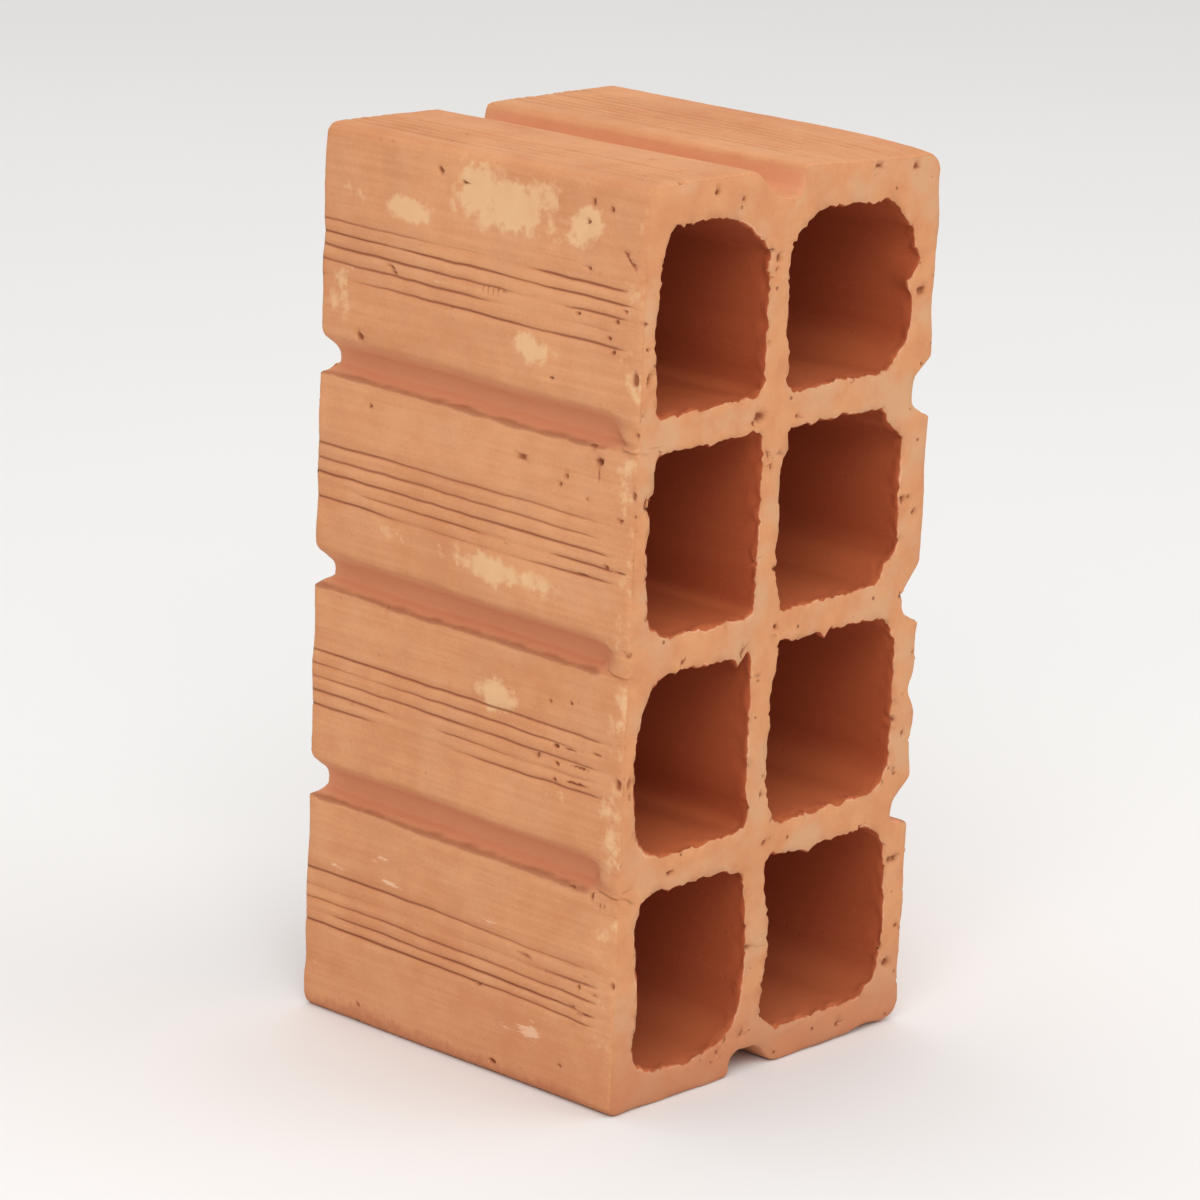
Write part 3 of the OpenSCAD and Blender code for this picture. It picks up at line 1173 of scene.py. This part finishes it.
@dataclass
class Brick:
    """The one fired piece."""

    section: Section
    near: float
    far: float
    finish: FiredClay = FiredClay()

    def build(self) -> bpy.types.Object:
        """Make the brick's mesh, dress it and put it in the frame.

        Returns:
            The finished piece.
        """
        bm = ClayMesh(self.section, self.near, self.far).build()
        self._relief().apply(bm)
        for face in bm.faces:
            face.smooth = True
        mesh = bpy.data.meshes.new("brick_body")
        bm.to_mesh(mesh)
        bm.free()
        mesh.materials.append(self.finish.material())
        piece = bpy.data.objects.new("brick_body", mesh)
        bpy.context.scene.collection.objects.link(piece)
        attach(piece, "root")
        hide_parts("brick")
        return piece

    def _relief(self) -> Relief:
        """The wear and stains of this brick."""
        return Relief(
            self.section, self.near, self.far,
            scars=self._left_scars() + self._near_scars() + self._chance_scars(),
            pushes=self._pushes(), straw=self._straw(), scuffs=self._scuffs(),
        )

    def _left_scars(self) -> list[Scar]:
        """Pits and cracks that stand out on the -X face, each by its place, half sizes and direction."""
        run = Vector((0, 1, 0))
        rise = Vector((0, 0, 1))
        lean = Vector((0, 1, 1)).normalized()
        pits = [
            (56.5, 185, 1.2, 0.8, lean), (50, 183.5, 0.8, 0.6, run), (14.5, 185, 1.3, 0.7, rise),
            (69, 162.5, 1.9, 0.7, lean), (17.5, 162.5, 0.9, 0.6, run), (9, 159, 1, 0.6, run),
            (7, 162.5, 0.9, 0.6, run), (5, 165, 0.8, 0.5, run), (78.5, 147.5, 1.6, 1.1, lean),
            (79.5, 141, 0.8, 0.6, run), (46, 145, 0.8, 0.5, run), (42, 144.5, 1.1, 0.5, run),
            (38, 145, 0.8, 0.5, run), (24, 148.5, 0.8, 0.4, run), (74.5, 133.5, 0.8, 0.6, run),
            (31.5, 131, 1, 0.5, rise), (12.5, 137, 1.6, 1, run), (10.5, 134, 1.3, 1.1, run),
            (10.3, 131.5, 1.6, 0.35, rise), (2, 152, 2.5, 1.2, rise), (1, 141, 1.2, 0.9, rise),
            (1, 129, 1.2, 0.9, rise), (4, 123.5, 1, 0.7, run), (8, 121, 0.6, 0.5, run), (35, 113, 1.8, 0.4, lean),
            (7.5, 113.5, 0.7, 0.6, run), (48, 98.5, 0.8, 0.5, run), (45, 98, 0.8, 0.5, run), (38, 98.5, 0.8, 0.5, run),
            (68, 92.5, 1.5, 0.7, run), (68.5, 91, 1.5, 0.35, rise), (12.5, 92.5, 1.6, 0.9, run),
            (21, 83, 0.6, 0.5, run), (19, 74, 0.9, 0.6, run), (24, 71, 1, 0.8, rise), (18.5, 70.5, 0.8, 0.6, run),
            (2, 70, 1.8, 0.8, rise), (19, 67, 0.9, 0.6, run), (18, 52.5, 0.8, 0.5, run), (14.5, 52, 1.3, 0.8, run),
            (13, 46, 1.5, 0.8, run), (33, 29, 1, 0.6, run), (12, 29.5, 1.3, 0.7, run), (1, 28, 1, 0.7, rise),
            (10, 25.5, 0.8, 0.6, run), (11, 21, 0.6, 0.5, run), (38, 18.5, 1.3, 0.7, run), (73, 4.5, 1, 0.5, lean),
            (40, 0.5, 1.2, 0.8, run), (33.5, 3, 1.5, 0.7, run),
        ]
        tears = [
            (15.5, 74.3, 3.5, run), (8, 74.8, 2, run), (12, 71, 4, run), (13, 67.5, 4, run), (3.5, 117.5, 3.5, run),
            (3, 113, 3, run), (13.5, 110.7, 2.5, run), (7, 90.5, 5, run), (5, 44, 3, run), (26, 28.3, 4, run),
            (8, 28.5, 3, run), (5.5, 25, 2.5, run), (8.5, 20, 4.5, run), (15.5, 16.2, 2.5, run), (29, 18, 9, run),
            (4.5, 175, 3.8, lean), *((38 + 1.4 * i, 163, 1.2 + 0.5 * (i % 2), rise) for i in range(5)),
        ]
        scars = [Scar(on_left(y, z), LEFT, along, length, width, 1.0) for y, z, length, width, along in pits]
        return scars + [Scar(on_left(y, z), LEFT, along, length, 0.38, 0.6) for y, z, length, along in tears]

    def _near_scars(self) -> list[Scar]:
        """Pits and crumbled spots of the near cut end, and the tool marks of the head."""
        run = Vector((1, 0, 0))
        rise = Vector((0, 0, 1))
        pits = [
            (-9, 140, run, 2.4, 1.5), (41, 37, run, 2.4, 1.0), (41, 14, run, 1.8, 1.2), (40, 160, run, 2.0, 1.4),
            (37, 116, rise, 1.4, 1.0), (41, 113, rise, 1.2, 0.8), (-7, 20, rise, 1.4, 0.8), (24, 187.5, run, 2.0, 0.8),
            (-6, 172, rise, 1.2, 0.8), (-25, 187, run, 1.2, 0.8), (36, 186, run, 1.4, 0.9), (-43, 152, rise, 1.8, 0.8),
            (-42, 127, rise, 1.5, 0.9), (-43, 70, rise, 2.0, 0.9), (39, 95, run, 1.4, 0.8), (-30, 49, run, 1.4, 0.7),
        ]
        head = [(-19, 44), (-22, 33), (-20, 22), (-25, 10)]
        top = self.section.height / MM
        marks = [Scar(Vector((x, on_near(x, top).y + y, top)), HEAD, run, 1.6, 0.6, 0.5) for x, y in head]
        return marks + [Scar(on_near(x, z), NEAR, along, length, width, 1.4) for x, z, along, length, width in pits]

    def _chance_scars(self) -> list[Scar]:
        """Small pits scattered over every face."""
        chance = random.Random(SEED)
        low_y = self.near / MM
        far_y = self.far / MM
        half = self.section.half_width / MM
        top = self.section.height / MM
        scars = []
        for facing, count in ((LEFT, 16), (RIGHT, 34), (HEAD, 12), (FOOT, 12), (NEAR, 100), (FAR, 110)):
            for _ in range(count):
                across = chance.uniform(-half, half)
                run = chance.uniform(low_y, far_y) if chance.random() < 0.4 else low_y + chance.expovariate(0.12)
                z = chance.uniform(2, top - 2)
                place = {
                    "x": Vector((facing.x * half, run, z)),
                    "y": Vector((across, low_y if facing.y < 0 else far_y, z)),
                    "z": Vector((across, run, top if facing.z > 0 else 0)),
                }["x" if facing.x else "y" if facing.y else "z"]
                along = Vector([chance.uniform(-1, 1) * (1 - abs(part)) for part in facing]).normalized()
                width = chance.uniform(0.5, 0.85)
                length = width * chance.uniform(1.0, 1.6)
                scars.append(Scar(place, facing, along, length, width, chance.uniform(0.6, 1.1)))
        return scars

    def _pushes(self) -> list[Push]:
        """How the die and the wire left the section out of true."""
        section = self.section
        cells = range(section.rows)
        left = [Push(-40, section.cell_middle(row) / MM, -1.6 if row else 1.2, 0, 3, 11) for row in cells]
        right = [Push(-1.75, section.cell_middle(row) / MM, -0.3 if row else 1.2, 0, 3.5, 10) for row in cells]
        return left + right + [
            Push(-37.7, 180.2, 0.5, 2.6, 2.5, 2.5), Push(-12, 179.5, 0, -4, 6.5, 6), Push(-37.7, 146.8, -1.3, -2, 2.5, 2.5),
            Push(17, 182.5, 0, -1.5, 16, 5), Push(1, 180, 0.5, -2.5, 6, 5), Push(35, 179.5, -0.5, -4, 5, 5),
            Push(34.7, 146.7, -1.2, 1.2, 4, 4), Push(-1.75, 149, 1.3, 0, 3, 4), Push(-37.7, 134.6, -1, 1.2, 2.5, 2.5),
            Push(34.7, 134.6, -1.7, -2.2, 4, 4), Push(34.7, 101.1, -1.6, 2, 4, 4), Push(37, 118, -1, 0, 3, 12),
            Push(-1.75, 133, 1.5, 0, 3, 3), Push(-1.75, 101, 1.8, 0, 3, 3), Push(34, 0, 0, 1.3, 5, 4, 8),
            Push(-8.25, 57, 1.2, 0, 3, 5), Push(-1.75, 88, 1.8, 0, 3, 4), Push(-1.75, 55, 2, 0, 3, 3),
            Push(-5, 28, 2.4, 0, 7, 17), Push(-25, 7.5, 0, -1.2, 10, 3), Push(37, 25, 1, 0, 3, 8),
            Push(45, 135.6, 0, -2.4, 4, 3), Push(45, 90, 0, -1.4, 4, 3), Push(45, 100, 0, 1.2, 4, 3),
            Push(38, 167, 2.2, 0, 3, 2.2, 4), Push(36, 162.3, -2.2, 0, 3, 1.6, 4), Push(-12, 91, 0, -2.6, 1.3, 1.3, 4),
            Push(-8.3, 91.5, 0.3, 2.2, 1.5, 1.5, 4), Push(15, 91, 0, -1.5, 1.2, 1.2, 4), Push(2, 92, 0, 1.2, 1.5, 1.5, 4),
            Push(-11, 45, 0, -2, 1.5, 1.5, 4), Push(45, 74, -2.3, 0, 3, 3.2, 6),
            Push(45, 63, -1, 0, 3, 5, 6),
        ]

    def _straw(self) -> list[Patch]:
        """Straw-coloured stains of the -X face, with fainter ones on the +X face."""
        spots = [
            (38, 181, 13, 6, 1), (65, 175, 7, 3, 0.8), (17, 181, 5, 4, 0.8), (82, 177, 4, 2, 0.5),
            (29.5, 153.5, 6, 2.5, 0.8), (35, 107, 14, 3.2, 0.9), (66.5, 108.5, 4, 2, 0.5), (36, 80, 6, 3.5, 1),
            (84, 155, 4, 5, 0.5), (19, 64, 3, 2, 0.4), (26, 107, 6, 3, 0.7), (2, 100, 5, 80, 0.35),
        ]
        return self._both_sides(spots, 0.8)

    def _scuffs(self) -> list[Patch]:
        """Pale scratches of the side faces."""
        spots = [
            (80, 34.5, 5, 1.6, 0.9), (67.5, 38.5, 8, 1.6, 0.9), (63.5, 34.5, 7, 1.4, 0.9), (42.5, 34, 5, 1.6, 0.8),
            (35, 34, 5, 2.5, 0.9), (88, 39.5, 3, 1.4, 0.8), (23, 13, 6, 4, 1), (30, 12, 5, 2, 0.8), (38, 17, 3, 1.5, 0.8),
            (57.5, 14.5, 3, 2, 0.8), (86, 10, 4, 2, 0.8), (57, 162.5, 13, 3, 0.75), (57, 170, 8, 2, 0.7),
        ]
        return self._both_sides(spots, 0.9)

    def _both_sides(self, spots: list[tuple[float, ...]], share: float) -> list[Patch]:
        """Patches of the -X face, and weaker ones on the +X face.

        Args:
            spots: Place from the near end, height, half length, half height and strength of each.
            share: How strong those of the +X face are beside the others.

        Returns:
            The patches.
        """
        left = [Patch(LEFT, on_left(y, z), Vector((40, run, tall)), level) for y, z, run, tall, level in spots]
        right = [Patch(RIGHT, Vector((-p.middle.x, -p.middle.y, p.middle.z)), p.reach, p.strength * share) for p in left]
        return left + right


@dataclass
class Studio:
    """Floor, soft lights, pale surround and camera."""

    floor_size: float = 14.0
    surround: Colour = (1.0, 0.985, 0.965)
    surround_strength: float = 0.70
    azimuth: float = math.radians(-47.45)
    elevation: float = math.radians(15.04)
    roll: float = math.radians(2.42)
    distance: float = 1.0035
    target: Point = (-0.0053, 0.0, 0.0921)
    lens: float = 144.6
    floor: PaleFloor = PaleFloor()

    def build(self) -> None:
        """Set the whole stage."""
        self._lay_floor()
        self._surround()
        self._lamp("key_light", (-1.1, -0.9, 1.3), 1.2, 14.0)
        self._lamp("fill_light", (1.3, -1.4, 0.9), 1.6, 9.0)
        self._lamp("top_light", (0.2, 0.4, 2.0), 1.6, 7.5)
        self._camera()
        bpy.context.scene.view_settings.view_transform = "Standard"

    def _lay_floor(self) -> None:
        """Lay the floor."""
        bm = bmesh.new()
        bmesh.ops.create_grid(bm, x_segments=4, y_segments=4, size=self.floor_size / 2)
        mesh = bpy.data.meshes.new("studio_floor")
        bm.to_mesh(mesh)
        bm.free()
        mesh.materials.append(self.floor.material())
        floor = bpy.data.objects.new("studio_floor", mesh)
        bpy.context.scene.collection.objects.link(floor)

    def _surround(self) -> None:
        """Light the scene evenly from all round."""
        world = bpy.data.worlds.new("surround")
        world.use_nodes = True
        background = world.node_tree.nodes["Background"]
        background.inputs["Color"].default_value = (*self.surround, 1.0)
        background.inputs["Strength"].default_value = self.surround_strength
        bpy.context.scene.world = world

    def _lamp(self, name: str, place: Point, size: float, power: float) -> None:
        """Hang a soft square lamp that faces the brick.

        Args:
            name: The lamp's name.
            place: Where it hangs, in metres.
            size: Length of its side.
            power: Its power in watts.
        """
        light = bpy.data.lights.new(name, "AREA")
        light.size = size
        light.energy = power
        lamp = bpy.data.objects.new(name, light)
        lamp.location = place
        aim = Vector(self.target) - Vector(place)
        lamp.rotation_euler = aim.to_track_quat("-Z", "Y").to_euler()
        bpy.context.scene.collection.objects.link(lamp)

    def _camera(self) -> None:
        """Stand the camera, turned a little about its own axis."""
        level = math.cos(self.elevation)
        back = Vector((
            math.sin(self.azimuth) * level, -math.cos(self.azimuth) * level, math.sin(self.elevation),
        ))
        data = bpy.data.cameras.new("camera")
        data.lens = self.lens
        camera = bpy.data.objects.new("camera", data)
        camera.location = Vector(self.target) + back * self.distance
        turn = back.to_track_quat("Z", "Y") @ Quaternion((0, 0, 1), self.roll)
        camera.rotation_euler = turn.to_euler()
        bpy.context.scene.collection.objects.link(camera)
        bpy.context.scene.camera = camera


def main() -> None:
    """Build the brick and its studio, and report each piece."""
    logging.basicConfig(level=logging.INFO, format="%(name)s: %(message)s")
    noise.seed_set(SEED)
    low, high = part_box("brick")
    section = Section(width=high.x - low.x, height=high.z - low.z)
    piece = Brick(section, low.y, high.y).build()
    triangles = sum(len(face.vertices) - 2 for face in piece.data.polygons)
    log.info("%s: %d triangles", piece.name, triangles)
    Studio().build()


if __name__ == "__main__":
    main()
